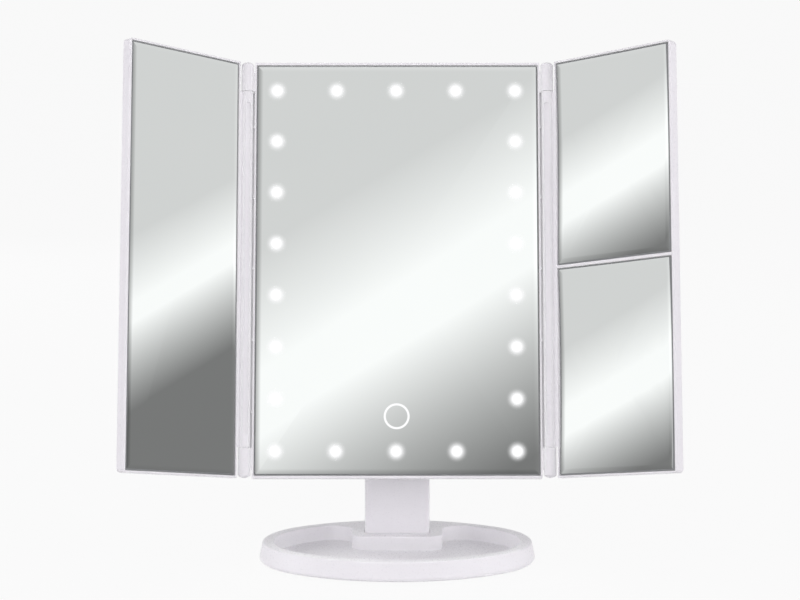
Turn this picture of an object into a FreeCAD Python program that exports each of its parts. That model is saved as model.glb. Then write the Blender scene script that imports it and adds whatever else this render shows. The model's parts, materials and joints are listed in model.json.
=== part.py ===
import FreeCAD, Part
import os
import re
import Sketcher

# Lighted tri-fold makeup mirror. The stand is modelled about the middle of its footprint, z up, viewer at -Y.
# The head's pieces are modelled about the middle of the centre glass, y to the back, and then tilted;
# a wing's pieces are modelled about its hinge axis, and then swung and tilted.

# Driving sizes in millimetres, angles in degrees
SIZES = {
    # Centre case
    "panel_height": 240.0,
    "glass_width": 162.0,
    "glass_thick": 3.0,
    "glass_gap": 0.3,
    "lip_side": 0.9,
    "lip_end": 1.3,
    "lip_proud": 0.3,
    "tape_thick": 0.5,
    "tape_width": 5.0,
    "ledge_reach": 7.5,
    "ledge_thick": 1.5,
    "front_depth": 7.0,
    "case_depth": 14.0,
    "case_wall": 2.0,
    "case_round": 1.6,
    # Wing hinges
    "hinge_gap": 1.1,
    "hinge_front": 1.0,
    "barrel_radius": 3.1,
    "knuckle_radius": 3.6,
    "knuckle_length": 17.1,
    "knuckle_play": 0.3,
    "knuckle_root": 6.0,
    "cap_length": 5.0,
    "cap_dome": 5.0,
    "pin_radius": 1.2,
    "pin_play": 0.05,
    "pin_reach": 9.0,
    "groove_width": 2.9,
    "groove_depth": 1.1,
    "groove_margin": 8.0,
    "groove_turn": 30.0,
    "trough_play": 0.4,
    "trough_thick": 1.2,
    "rib_reach": 0.7,
    "rib_height": 1.4,
    "rib_pitch": 41.2,
    # Wings
    "wing_inset": 4.4,
    "wing_lip_inner": 1.3,
    "wing_lip": 1.4,
    "wing_lip_end": 1.1,
    "wing_glass_width": 77.5,
    "wing_glass_thick": 2.0,
    "wing_thick": 6.5,
    "wing_corner": 2.5,
    "wing_round": 0.8,
    "divider_width": 1.5,
    "magnifier_thick": 3.6,
    "upper_curve": 1600.0,
    "lower_curve": 1200.0,
    "left_swing": 44.9,
    "right_swing": 40.9,
    # Lights, touch spot and boards
    "light_inset_side": 12.35,
    "light_inset_end": 14.2,
    "led_length": 3.5,
    "led_width": 2.8,
    "led_height": 0.8,
    "board_width": 8.0,
    "board_thick": 1.2,
    "board_back": 8.0,
    "rail_width": 2.0,
    "diffuser_thick": 0.3,
    "touch_drop": 84.6,
    "electrode_radius": 9.0,
    "electrode_thick": 0.3,
    "contact_pin_radius": 1.2,
    "control_length": 60.0,
    "control_height": 22.0,
    "control_shift": 12.0,
    "post_radius": 2.5,
    "post_inset": 4.0,
    "socket_shift": 36.0,
    "socket_width": 7.6,
    "socket_height": 2.8,
    "socket_wall": 0.4,
    "socket_tongue": 0.7,
    "socket_play": 0.3,
    # Battery box and door
    "battery_drop": 34.0,
    "cell_radius": 5.25,
    "cell_length": 44.5,
    "cell_nub_radius": 1.9,
    "cell_nub_length": 0.8,
    "cell_pitch": 11.0,
    "cell_play": 0.3,
    "contact_plate_thick": 0.5,
    "contact_plate_width": 8.0,
    "box_front": 5.2,
    "box_floor": 1.2,
    "hump_depth": 20.0,
    "hump_wall": 4.5,
    "hump_end_wall": 3.0,
    "hump_round": 1.5,
    "door_thick": 1.6,
    "door_overlap": 1.5,
    "door_play": 0.15,
    "tongue_reach": 0.9,
    "tongue_thick": 0.8,
    "grip_rise": 0.5,
    "grip_width": 20.0,
    "grip_height": 1.2,
    "grip_pitch": 2.6,
    "grip_drop": 8.0,
    # Screws
    "screw_inset": 5.7,
    "screw_rise": 55.0,
    "screw_radius": 1.25,
    "screw_clearance": 0.25,
    "screw_head_radius": 2.4,
    "screw_head_height": 1.6,
    "screw_bite": 3.5,
    "boss_radius": 3.0,
    "cover_boss_radius": 4.0,
    "boss_meet": 9.5,
    "head_seat": 11.0,
    # Tilt pivot and neck
    "tilt": 13.6,
    "pivot_depth": 30.0,
    "pivot_drop": 84.0,
    "pivot_height": 78.2,
    "ear_radius": 8.0,
    "ear_thick": 6.0,
    "ear_root": 5.0,
    "shaft_radius": 3.0,
    "shaft_play": 0.05,
    "washer_radius": 6.0,
    "washer_thick": 0.8,
    "washer_play": 0.1,
    "pivot_cap_radius": 4.5,
    "pivot_cap_thick": 2.0,
    "neck_setback": 25.4,
    "neck_width": 37.6,
    "neck_depth": 14.0,
    "neck_corner": 3.4,
    "neck_wall": 2.2,
    "neck_play": 0.35,
    "neck_cover_width": 29.0,
    "neck_cover_rise": 5.0,
    "neck_cover_gap": 5.2,
    "neck_cover_thick": 2.0,
    "neck_cover_play": 0.2,
    "neck_cover_ledge": 2.0,
    "neck_cover_end": 7.0,
    "neck_cover_bite": 4.0,
    # Base
    "base_half_length": 76.9,
    "base_half_width": 57.2,
    "base_end_radius": 47.0,
    "base_flare": 2.3,
    "base_height": 12.0,
    "base_bottom_round": 2.2,
    "rim_width": 6.5,
    "rim_round": 1.2,
    "rim_inner_round": 0.8,
    "floor_top": 3.8,
    "tray_draft": 1.6,
    "boss_front": 9.3,
    "boss_half": 26.5,
    "boss_corner": 9.0,
    "boss_heel_share": 0.28,
    "boss_root_share": 0.5,
    "foot_height": 1.0,
    "foot_inset": 14.0,
    "foot_width": 6.0,
    "foot_seat": 0.6,
    "skirt_wall": 3.7,
    "plate_thick": 1.4,
    "plate_play": 0.2,
    "plate_head_height": 0.9,
    "plate_screw_inset": 7.5,
    "plate_screw_bite": 4.0,
    "neck_screw_spread": 10.0,
    "neck_screw_bite": 5.0,
    "overrun": 2.0,
}

# Places worked out from the driving sizes
PLACES = {
    "half_panel": "panel_height / 2",
    "half_glass": "glass_width / 2",
    "glass_top": "half_panel - lip_end - glass_gap",
    "frame_side": "half_glass + glass_gap + lip_side",
    "seat_depth": "glass_thick + tape_thick",
    "ledge_back": "seat_depth + ledge_thick",
    "case_inner": "case_depth - case_wall",
    "screw_x": "frame_side - screw_inset",
    "screw_z": "half_panel - screw_inset",
    "hinge_x": "frame_side + hinge_gap + barrel_radius",
    "trough_front": "barrel_radius - hinge_front + trough_play",
    "knuckle_start": "half_panel - knuckle_length",
    "knuckle_top": "half_panel - cap_length",
    "barrel_end": "knuckle_start - knuckle_play",
    "wing_front": "hinge_front - lip_proud",
    "wing_glass_in": "wing_inset + wing_lip_inner + glass_gap",
    "wing_glass_out": "wing_glass_in + wing_glass_width",
    "wing_outer": "wing_glass_out + glass_gap + wing_lip",
    "wing_glass_top": "half_panel - wing_lip_end - glass_gap",
    "divider_edge": "divider_width / 2 + glass_gap",
    "light_x": "half_glass - light_inset_side",
    "light_z": "glass_top - light_inset_end",
    "board_front": "board_back - board_thick",
    "cells_half": "2 * cell_pitch + cell_play",
    "cells_reach": "cell_length / 2 + contact_plate_thick",
    "cells_low": "-battery_drop - cells_reach",
    "cells_high": "-battery_drop + cells_reach",
    "cells_floor": "box_front + box_floor",
    "cells_mid": "cells_floor + cell_play + cell_radius",
    "hump_half": "cells_half + hump_wall",
    "hump_low": "cells_low - hump_end_wall",
    "hump_high": "cells_high + hump_end_wall",
    "door_half": "cells_half + door_overlap",
    "door_low": "cells_low - door_overlap",
    "door_back": "hump_depth - door_thick",
    "ear_in": "neck_width / 2 + washer_thick + washer_play",
    "ear_out": "ear_in + ear_thick",
    "neck_half": "neck_width / 2",
    "neck_front": "neck_setback - neck_depth / 2",
    "neck_rear": "neck_setback + neck_depth / 2",
    "neck_cover_half": "neck_cover_width / 2",
    "neck_cover_low": "base_height + neck_cover_rise",
    "neck_cover_high": "pivot_height - neck_depth / 2 - neck_cover_gap",
    "base_reach": "base_half_length - base_end_radius",
    "base_long_radius":
        "(base_reach^2 + base_half_width^2 - base_end_radius^2) / (2 * (base_half_width - base_end_radius))",
    "base_drop": "base_long_radius - base_half_width",
    "boss_root_radius": "base_long_radius - rim_width * boss_root_share",
    "boss_heel": "boss_heel_share * (base_half_length - boss_half - boss_corner)",
    "boss_root": "sqrt(boss_root_radius^2 - boss_half^2) - base_drop",
    "plate_top": "foot_height + plate_thick",
    "plate_screw_x": "base_half_length - plate_screw_inset + base_flare",
    "plate_screw_y": "base_half_width - plate_screw_inset + base_flare",
}

# Where each group of pieces stands: the tilted head, and the wings swung from it
HEAD = (
    "placement(vector(0; neck_setback; pivot_height); rotation(vector(1; 0; 0); -tilt))"
    " * placement(vector(0; -pivot_depth; pivot_drop); rotation(vector(1; 0; 0); 0))"
)
LEFT_WING = HEAD + " * placement(vector(-(hinge_x); -hinge_front; 0); rotation(vector(0; 0; 1); left_swing))"
RIGHT_WING = HEAD + " * placement(vector(hinge_x; -hinge_front; 0); rotation(vector(0; 0; 1); -right_swing))"

LIGHTS_ACROSS = 5
LIGHTS_UP = 8
RIB_STEPS = (-2, -1, 0, 1, 2)
CELL_STEPS = (-1.5, -0.5, 0.5, 1.5)
GRIP_STEPS = (-2, -1, 0, 1, 2)
ENDS = (-1, 1)
NEAR = 1e-3
TOWARDS_BACK = "XZ_Plane"
UPWARDS = "XY_Plane"
SIDEWAYS = "YZ_Plane"
POINTS_FORWARD = FreeCAD.Rotation(FreeCAD.Vector(1, 0, 0), 90)
POINTS_RIGHT = FreeCAD.Rotation(FreeCAD.Vector(0, 1, 0), 90)

# Screw places: base plate and neck foot in the stand's plan, neck cover and centre case in elevation
PLATE_SPOTS = [(f"{end} * (plate_screw_x)", "0") for end in ENDS]
PLATE_SPOTS += [("0", f"{end} * (plate_screw_y)") for end in ENDS]
NECK_SPOTS = [(f"{end} * neck_screw_spread", "neck_setback") for end in ENDS]
COVER_SPOTS = [("0", "neck_cover_low + neck_cover_end / 2"), ("0", "neck_cover_high - neck_cover_end / 2")]
CASE_SPOTS = [(f"{end} * (screw_x)", f"{side} * screw_rise") for end in ENDS for side in ENDS]
CASE_SPOTS += [("0", f"{end} * (screw_z)") for end in ENDS]

doc = FreeCAD.newDocument("makeup_mirror")
sheet = doc.addObject("Spreadsheet::Sheet", "sizes")
for row, (name, value) in enumerate(SIZES.items(), 1):
    sheet.set(f"A{row}", name)
    sheet.set(f"B{row}", str(value))
    sheet.setAlias(f"B{row}", name)
doc.recompute()
pieces = []


def cells(text):
    """Expression text in which every size's or place's name stands for the sheet's cells."""
    def swap(match):
        word = match[0]
        if word in PLACES:
            return f"({cells(PLACES[word])})"
        return f"sizes.{word}" if word in SIZES else word
    return re.sub(r"[a-z]\w*", swap, text)


def num(text):
    return float(sheet.evalExpression(cells(text)))


def bind(item, field, text):
    item.setExpression(field, cells(text))


def piece(item, label, where=None):
    item.Label = label
    if where:
        bind(item, "Placement", where)
    pieces.append(item)
    return item


def body(label, where=None):
    return piece(doc.addObject("PartDesign::Body", label), label, where)


# Sketch outlines: each returns a function that draws one closed outline
def fix(sketch, kind, edge, point, text):
    index = sketch.addConstraint(Sketcher.Constraint(kind, -1, 1, edge, point, num(text)))
    bind(sketch, f"Constraints[{index}]", text)


def fix_radius(sketch, edge, text):
    index = sketch.addConstraint(Sketcher.Constraint("Radius", edge, num(text)))
    bind(sketch, f"Constraints[{index}]", text)


def box(x_low, x_high, y_low, y_high):
    corners = [(x_low, y_low), (x_high, y_low), (x_high, y_high), (x_low, y_high)]

    def draw(sketch):
        first = sketch.GeometryCount
        spots = [FreeCAD.Vector(num(x), num(y), 0) for x, y in corners]
        for start, end in zip(spots, spots[1:] + spots[:1]):
            sketch.addGeometry(Part.LineSegment(start, end))
        for edge in range(4):
            following = first + (edge + 1) % 4
            sketch.addConstraint(Sketcher.Constraint("Coincident", first + edge, 2, following, 1))
        for edge, (x, y) in enumerate(corners, first):
            fix(sketch, "DistanceX", edge, 1, x)
            fix(sketch, "DistanceY", edge, 1, y)
    return draw


def centred(half_width, half_height):
    return box(f"-({half_width})", half_width, f"-({half_height})", half_height)


def disc(x, y, radius):
    def draw(sketch):
        centre = FreeCAD.Vector(num(x), num(y), 0)
        edge = sketch.addGeometry(Part.Circle(centre, FreeCAD.Vector(0, 0, 1), num(radius)))
        fix(sketch, "DistanceX", edge, 3, x)
        fix(sketch, "DistanceY", edge, 3, y)
        fix_radius(sketch, edge, radius)
    return draw


def holes(spots, radius):
    return [disc(x, y, radius) for x, y in spots]


def arc_between(centre, start, end):
    """Arc run anticlockwise about centre from start to end."""
    radius = (start - centre).Length
    circle = Part.Circle(centre, FreeCAD.Vector(0, 0, 1), radius)
    return Part.ArcOfCircle(circle, circle.parameter(start), circle.parameter(end))


def join_tangent(sketch, first, count):
    for edge in range(count):
        sketch.addConstraint(Sketcher.Constraint("Tangent", first + edge, 2, first + (edge + 1) % count, 1))


def oval(half_length, half_width, end_radius):
    """Four tangent arcs: round ends of end_radius and two long flat arcs."""
    reach = f"({half_length} - ({end_radius}))"
    long_radius = (
        f"(({reach})^2 + ({half_width})^2 - ({end_radius})^2) / (2 * (({half_width}) - ({end_radius})))"
    )

    def draw(sketch):
        first = sketch.GeometryCount
        end, side, out = num(end_radius), num(long_radius), num(reach)
        drop = side - num(half_width)
        turn = FreeCAD.Vector(out, drop, 0).normalize()
        right, left = FreeCAD.Vector(out, 0, 0), FreeCAD.Vector(-out, 0, 0)
        above, below = FreeCAD.Vector(0, drop, 0), FreeCAD.Vector(0, -drop, 0)
        upper_right = right + turn * end
        upper_left = FreeCAD.Vector(-upper_right.x, upper_right.y, 0)
        lower_left = upper_right * -1
        lower_right = upper_left * -1
        sketch.addGeometry(arc_between(right, lower_right, upper_right))
        sketch.addGeometry(arc_between(below, upper_right, upper_left))
        sketch.addGeometry(arc_between(left, upper_left, lower_left))
        sketch.addGeometry(arc_between(above, lower_left, lower_right))
        join_tangent(sketch, first, 4)
        for edge, text in ((first, reach), (first + 2, f"-{reach}")):
            fix(sketch, "DistanceX", edge, 3, text)
            fix(sketch, "DistanceY", edge, 3, "0")
            fix_radius(sketch, edge, end_radius)
        for edge in (first + 1, first + 3):
            fix_radius(sketch, edge, long_radius)
    return draw


def boss_outline():
    """Straight front and sides, and a back that follows the base's long arc inside the rim."""
    corners = [("-boss_half", "boss_front"), ("boss_half", "boss_front"),
               ("boss_half", "boss_root"), ("-boss_half", "boss_root")]

    def draw(sketch):
        first = sketch.GeometryCount
        spots = [FreeCAD.Vector(num(x), num(y), 0) for x, y in corners]
        sketch.addGeometry(Part.LineSegment(spots[0], spots[1]))
        sketch.addGeometry(Part.LineSegment(spots[1], spots[2]))
        sketch.addGeometry(arc_between(FreeCAD.Vector(0, -num("base_drop"), 0), spots[2], spots[3]))
        sketch.addGeometry(Part.LineSegment(spots[3], spots[0]))
        for edge in range(4):
            following = first + (edge + 1) % 4
            sketch.addConstraint(Sketcher.Constraint("Coincident", first + edge, 2, following, 1))
        for edge, (x, y) in enumerate(corners, first):
            fix(sketch, "DistanceX", edge, 1, x)
            fix(sketch, "DistanceY", edge, 1, y)
        fix_radius(sketch, first + 2, "boss_root_radius")
    return draw


def slot(x, y_low, y_high, half_width):
    """Upright slot with round ends; y_low and y_high are the centres of its ends."""
    def draw(sketch):
        first = sketch.GeometryCount
        wide = FreeCAD.Vector(num(half_width), 0, 0)
        low, high = FreeCAD.Vector(num(x), num(y_low), 0), FreeCAD.Vector(num(x), num(y_high), 0)
        sketch.addGeometry(Part.LineSegment(low + wide, high + wide))
        sketch.addGeometry(arc_between(high, high + wide, high - wide))
        sketch.addGeometry(Part.LineSegment(high - wide, low - wide))
        sketch.addGeometry(arc_between(low, low - wide, low + wide))
        join_tangent(sketch, first, 4)
        for edge, text in ((first + 1, y_high), (first + 3, y_low)):
            fix(sketch, "DistanceX", edge, 3, x)
            fix(sketch, "DistanceY", edge, 3, text)
            fix_radius(sketch, edge, half_width)
    return draw


# Body features: each starts at a named distance from an origin plane and runs towards the positive axis
def profile(owner, plane, start, outlines):
    sketch = owner.newObject("Sketcher::SketchObject", "profile")
    face = next(item for item in owner.Origin.OriginFeatures if item.Role == plane)
    sketch.AttachmentSupport = (face, "")
    sketch.MapMode = "FlatFace"
    bind(sketch, "AttachmentOffset.Base.z", f"-({start})" if plane == TOWARDS_BACK else start)
    for draw in outlines:
        draw(sketch)
    return sketch


def grow(owner, plane, start, length, *outlines):
    pad = owner.newObject("PartDesign::Pad", "pad")
    pad.Profile = profile(owner, plane, start, outlines)
    bind(pad, "Length", length)
    pad.Reversed = plane == TOWARDS_BACK


def carve(owner, plane, start, length, *outlines):
    pocket = owner.newObject("PartDesign::Pocket", "pocket")
    pocket.Profile = profile(owner, plane, start, outlines)
    bind(pocket, "Length", length)
    pocket.Reversed = plane != TOWARDS_BACK


def taper(owner, angle, low, high):
    """Slope the walls that start at low by the angle, outwards below the flat faces at high."""
    doc.recompute()
    base = owner.Tip
    walls, level = [], []
    for index, face in enumerate(base.Shape.Faces, 1):
        bottom, top = face.BoundBox.ZMin, face.BoundBox.ZMax
        if top - bottom < NEAR:
            level += [f"Face{index}"] if abs(top - num(high)) < NEAR else []
        elif abs(bottom - num(low)) < NEAR:
            walls.append(f"Face{index}")
    slope = owner.newObject("PartDesign::Draft", "draft")
    slope.Base = (base, walls)
    slope.NeutralPlane = (base, level[:1])
    bind(slope, "Angle", angle)


def soften(owner, radius, chosen):
    """Round the edges of the body so far that the chosen test picks."""
    doc.recompute()
    base = owner.Tip
    names = [f"Edge{index}" for index, edge in enumerate(base.Shape.Edges, 1) if chosen(edge)]
    fillet = owner.newObject("PartDesign::Fillet", "fillet")
    fillet.Base = (base, names)
    bind(fillet, "Radius", radius)


def reaches(edge, axis):
    return [getattr(vertex.Point, axis) for vertex in edge.Vertexes]


def lies_at(edge, axis, text):
    return all(abs(place - num(text)) < NEAR for place in reaches(edge, axis))


def lies_off(edge, axis, text):
    """True where the edge lies at that distance from the middle, on either side."""
    return all(abs(abs(place) - num(text)) < NEAR for place in reaches(edge, axis))


def runs_along(edge, axis):
    others = [other for other in "xyz" if other != axis]
    return all(max(reaches(edge, other)) - min(reaches(edge, other)) < NEAR for other in others)


# Plain solids for small parts
def solid(kind, sizes, place, turned=None):
    """Part primitive with its sizes and its place bound to the sheet."""
    item = doc.addObject(f"Part::{kind}", kind.lower())
    for field, text in sizes.items():
        bind(item, field, text)
    if turned:
        item.Placement.Rotation = turned
    for axis, text in zip("xyz", place):
        bind(item, f"Placement.Base.{axis}", text)
    return item


def block(x_low, x_high, y_low, y_high, z_low, z_high):
    sizes = {
        "Length": f"({x_high}) - ({x_low})",
        "Width": f"({y_high}) - ({y_low})",
        "Height": f"({z_high}) - ({z_low})",
    }
    return solid("Box", sizes, (x_low, y_low, z_low))


def rod(radius, length, place, turned=None):
    return solid("Cylinder", {"Radius": radius, "Height": length}, place, turned)


def joined(kind, base, tool):
    item = doc.addObject(f"Part::{kind}", kind.lower())
    item.Base = base
    item.Tool = tool
    return item


def group(label, members, where=None):
    item = doc.addObject("Part::Compound", label)
    item.Links = members
    return piece(item, label, where)


def screw(place, head_height, length, turned=None):
    """Screw whose head starts at place and whose shank runs on from the head."""
    head = rod("screw_head_radius", head_height, place, turned)
    shank = rod("screw_radius", length, place, turned)
    return joined("Fuse", head, shank)


# Stand
def base_tray():
    tray = body("base_tray")
    grow(tray, UPWARDS, "foot_height", "base_height - foot_height", oval_inside("0"))
    taper(tray, "atan(base_flare / (base_height - foot_height))", "foot_height", "base_height")
    carve(tray, UPWARDS, "floor_top", "base_height", oval_inside("rim_width"))
    taper(tray, "atan(tray_draft / (base_height - floor_top))", "floor_top", "base_height")
    neck_boss(tray)
    soften(tray, "rim_inner_round", lambda edge: lies_at(edge, "z", "base_height") and inside_rim(edge))
    soften(tray, "rim_round", lambda edge: lies_at(edge, "z", "base_height") and not inside_rim(edge))
    soften(tray, "base_bottom_round", lambda edge: lies_at(edge, "z", "foot_height"))
    socket = "neck_half + neck_play"
    carve(tray, UPWARDS, "floor_top", "base_height",
          box(f"-({socket})", socket, "neck_front - neck_play", "neck_rear + neck_play"))
    soften(tray, "neck_corner + neck_play",
           lambda edge: runs_along(edge, "z") and lies_off(edge, "x", socket))
    carve(tray, UPWARDS, "0", "plate_top", oval_inside("skirt_wall - base_flare"))
    carve(tray, UPWARDS, "0", "plate_top + plate_screw_bite", *holes(PLATE_SPOTS, "screw_radius"))
    carve(tray, UPWARDS, "0", "floor_top + overrun", *holes(NECK_SPOTS, "screw_radius + screw_clearance"))


def oval_inside(inset):
    """The base's top outline, moved inwards."""
    return oval(*[f"{size} - ({inset})" for size in ("base_half_length", "base_half_width", "base_end_radius")])


def neck_boss(tray):
    """Raised peninsula that carries the neck, joined to the back rim."""
    grow(tray, UPWARDS, "floor_top", "base_height - floor_top", boss_outline())
    soften(tray, "boss_corner", lambda edge: runs_along(edge, "z") and lies_at(edge, "y", "boss_front"))
    soften(tray, "boss_heel", lambda edge: climbs_wall(edge) and lies_off(edge, "x", "boss_half")
           and min(reaches(edge, "y")) > num("boss_front + boss_corner"))


def climbs_wall(edge):
    low, high = min(reaches(edge, "z")), max(reaches(edge, "z"))
    return abs(low - num("floor_top")) < NEAR and abs(high - num("base_height")) < NEAR


def inside_rim(edge):
    """True for an edge round the tray's hollow, false for one round the outside."""
    middle = edge.valueAt((edge.FirstParameter + edge.LastParameter) / 2)
    across, along = num("base_half_length - rim_width / 2"), num("base_half_width - rim_width / 2")
    return (middle.x / across) ** 2 + (middle.y / along) ** 2 < 1


def base_plate():
    plate = body("base_plate")
    grow(plate, UPWARDS, "foot_height", "plate_thick", oval_inside("skirt_wall - base_flare + plate_play"))
    spots = [*PLATE_SPOTS, *NECK_SPOTS]
    carve(plate, UPWARDS, "0", "plate_top + overrun", *holes(spots, "screw_radius + screw_clearance"))
    carve(plate, UPWARDS, "0", "foot_height + plate_head_height",
          *holes(spots, "screw_head_radius + screw_clearance"))
    carve(plate, UPWARDS, "0", "foot_height + foot_seat", *foot_outline())


def foot_outline():
    return oval_inside("foot_inset"), oval_inside("foot_inset + foot_width")


def base_foot():
    """Soft ring that the base stands on, set in a groove of the plate."""
    foot = body("base_foot_ring")
    grow(foot, UPWARDS, "0", "foot_height + foot_seat", *foot_outline())


def base_fixings():
    length = "plate_thick + plate_screw_bite"
    group("base_screws", [screw((x, y, "foot_height"), "plate_head_height", length) for x, y in PLATE_SPOTS])
    length = "floor_top - foot_height + neck_screw_bite"
    group("neck_screws", [screw((x, y, "foot_height"), "plate_head_height", length) for x, y in NECK_SPOTS])


def neck_column():
    neck = body("neck_column")
    grow(neck, UPWARDS, "floor_top", "pivot_height - floor_top",
         box("-(neck_half)", "neck_half", "neck_front", "neck_rear"))
    soften(neck, "neck_corner", lambda edge: runs_along(edge, "z"))
    grow(neck, SIDEWAYS, "-(neck_half)", "neck_width", disc("neck_setback", "pivot_height", "neck_depth / 2"))
    carve(neck, SIDEWAYS, "-(neck_half)", "neck_width", disc("neck_setback", "pivot_height", "shaft_radius"))
    hollow = "neck_cover_half - neck_cover_ledge"
    carve(neck, TOWARDS_BACK, "neck_front + neck_wall", "neck_depth",
          box(f"-({hollow})", hollow, "neck_cover_low + neck_cover_end", "neck_cover_high - neck_cover_end"))
    seat = "neck_cover_half + neck_cover_play"
    carve(neck, TOWARDS_BACK, "neck_rear - neck_cover_thick", "neck_depth",
          box(f"-({seat})", seat, "neck_cover_low - neck_cover_play", "neck_cover_high + neck_cover_play"))
    carve(neck, TOWARDS_BACK, "neck_rear - neck_cover_thick - neck_cover_bite", "neck_depth",
          *holes(COVER_SPOTS, "screw_radius"))
    carve(neck, UPWARDS, "floor_top", "neck_screw_bite", *holes(NECK_SPOTS, "screw_radius"))


def neck_cover():
    cover = body("neck_rear_cover")
    grow(cover, TOWARDS_BACK, "neck_rear - neck_cover_thick", "neck_cover_thick",
         box("-(neck_cover_half)", "neck_cover_half", "neck_cover_low", "neck_cover_high"))
    carve(cover, TOWARDS_BACK, "neck_front", "neck_depth + overrun",
          *holes(COVER_SPOTS, "screw_radius + screw_clearance"))
    carve(cover, TOWARDS_BACK, "neck_rear - plate_head_height", "overrun",
          *holes(COVER_SPOTS, "screw_head_radius + screw_clearance"))
    group("neck_cover_screws", [
        screw((x, "neck_rear", z), "plate_head_height", "neck_cover_thick + neck_cover_bite", POINTS_FORWARD)
        for x, z in COVER_SPOTS
    ])


def tilt_pivot():
    reach = "ear_out - pivot_cap_thick"
    place = (f"-({reach})", "neck_setback", "pivot_height")
    piece(rod("shaft_radius", f"2 * ({reach})", place, POINTS_RIGHT), "pivot_shaft")
    washers = []
    for start in ("neck_half", "-(neck_half) - washer_thick"):
        place = (start, "neck_setback", "pivot_height")
        ring = rod("washer_radius", "washer_thick", place, POINTS_RIGHT)
        hole = rod("shaft_radius", "washer_thick", place, POINTS_RIGHT)
        washers.append(joined("Cut", ring, hole))
    group("pivot_washers", washers)


# Centre case

def front_frame():
    frame = body("centre_front_frame", HEAD)
    grow(frame, TOWARDS_BACK, "-lip_proud", "lip_proud + front_depth", centred("frame_side", "half_panel"))
    carve(frame, TOWARDS_BACK, "-lip_proud - overrun", "lip_proud + overrun + seat_depth",
          centred("half_glass + glass_gap", "glass_top + glass_gap"))
    carve(frame, TOWARDS_BACK, "0", "front_depth + overrun",
          centred("half_glass - ledge_reach", "glass_top - ledge_reach"))
    carve(frame, TOWARDS_BACK, "ledge_back", "front_depth",
          centred("frame_side - case_wall", "half_panel - case_wall"))
    grow(frame, TOWARDS_BACK, "seat_depth", "boss_meet - seat_depth", *holes(CASE_SPOTS, "boss_radius"))
    carve(frame, TOWARDS_BACK, "boss_meet - screw_bite", "screw_bite + overrun",
          *holes(CASE_SPOTS, "screw_radius"))
    for side in ENDS:
        root, axis = f"{side} * (frame_side - lip_side)", f"{side} * (hinge_x)"
        grow(frame, TOWARDS_BACK, "0", "front_depth", *[
            box(root, f"{side} * (frame_side + rib_reach)",
                f"{step} * rib_pitch - rib_height / 2", f"{step} * rib_pitch + rib_height / 2")
            for step in RIB_STEPS
        ])
        grow(frame, UPWARDS, "-(knuckle_start)", "2 * (knuckle_start)",
             box(root, axis, "trough_front", "trough_front + trough_thick"))
        for start in ("knuckle_start", "-(knuckle_top)"):
            length = "knuckle_length - cap_length"
            grow(frame, UPWARDS, start, length, box(root, axis, "-lip_proud", "knuckle_root"))
            grow(frame, UPWARDS, start, length, disc(axis, "-hinge_front", "knuckle_radius"))
            carve(frame, UPWARDS, start, length, disc(axis, "-hinge_front", "pin_radius"))


def hinge_fixings():
    caps = []
    for side in ENDS:
        x = f"{side} * (hinge_x)"
        pins = []
        for end in ENDS:
            low = "knuckle_top" if end > 0 else "-(half_panel)"
            dome = "half_panel - cap_dome" if end > 0 else "-(half_panel) + cap_dome"
            plug = rod("knuckle_radius", "cap_length", (x, "-hinge_front", low))
            ball = solid("Sphere", {"Radius": "cap_dome"}, (x, "-hinge_front", dome))
            caps.append(joined("Common", plug, ball))
            low = "barrel_end - pin_reach" if end > 0 else "-(knuckle_top)"
            pins.append(rod("pin_radius", "knuckle_top - barrel_end + pin_reach", (x, "-hinge_front", low)))
        group("left_hinge_pins" if side < 0 else "right_hinge_pins", pins, HEAD)
    group("hinge_caps", caps, HEAD)


def rear_cover():
    cover = body("centre_rear_cover", HEAD)
    grow(cover, TOWARDS_BACK, "front_depth", "case_depth - front_depth", centred("frame_side", "half_panel"))
    soften(cover, "case_round", lambda edge: lies_at(edge, "y", "case_depth"))
    carve(cover, TOWARDS_BACK, "0", "case_inner", centred("frame_side - case_wall", "half_panel - case_wall"))
    grow(cover, TOWARDS_BACK, "box_front", "hump_depth - box_front",
         box("-(hump_half)", "hump_half", "hump_low", "hump_high"))
    soften(cover, "hump_round",
           lambda edge: lies_at(edge, "y", "hump_depth") and not lies_at(edge, "z", "hump_high"))
    door_recess(cover)
    pivot_ears(cover)
    # Rail under the lights' board, and posts under the control board
    grow(cover, TOWARDS_BACK, "board_back", "case_inner - board_back",
         centred("light_x + rail_width / 2", "light_z + rail_width / 2"),
         centred("light_x - rail_width / 2", "light_z - rail_width / 2"))
    posts = [
        disc(f"control_shift + {end} * (control_length / 2 - post_inset)",
             f"-touch_drop + {side} * (control_height / 2 - post_inset)", "post_radius")
        for end in ENDS for side in ENDS
    ]
    grow(cover, TOWARDS_BACK, "board_back", "case_inner - board_back", *posts)
    grow(cover, TOWARDS_BACK, "boss_meet", "case_inner - boss_meet",
         *holes(CASE_SPOTS, "cover_boss_radius"))
    carve(cover, TOWARDS_BACK, "0", "hump_depth", *holes(CASE_SPOTS, "screw_radius + screw_clearance"))
    carve(cover, TOWARDS_BACK, "head_seat", "hump_depth",
          *holes(CASE_SPOTS, "screw_head_radius + screw_clearance"))
    carve(cover, TOWARDS_BACK, "board_back", "hump_depth", socket_section("(-socket_play)"))


def door_recess(cover):
    open_top = "hump_high + overrun"
    carve(cover, TOWARDS_BACK, "cells_floor", "hump_depth",
          box("-(cells_half)", "cells_half", "cells_low", "cells_high"))
    carve(cover, TOWARDS_BACK, "door_back - door_play", "hump_depth",
          box("-(door_half + door_play)", "door_half + door_play", "door_low - door_play", open_top))
    reach = "door_half + tongue_reach + door_play"
    carve(cover, TOWARDS_BACK, "door_back - door_play", "tongue_thick + 2 * door_play",
          box(f"-({reach})", reach, "door_low - door_play", open_top))


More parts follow.
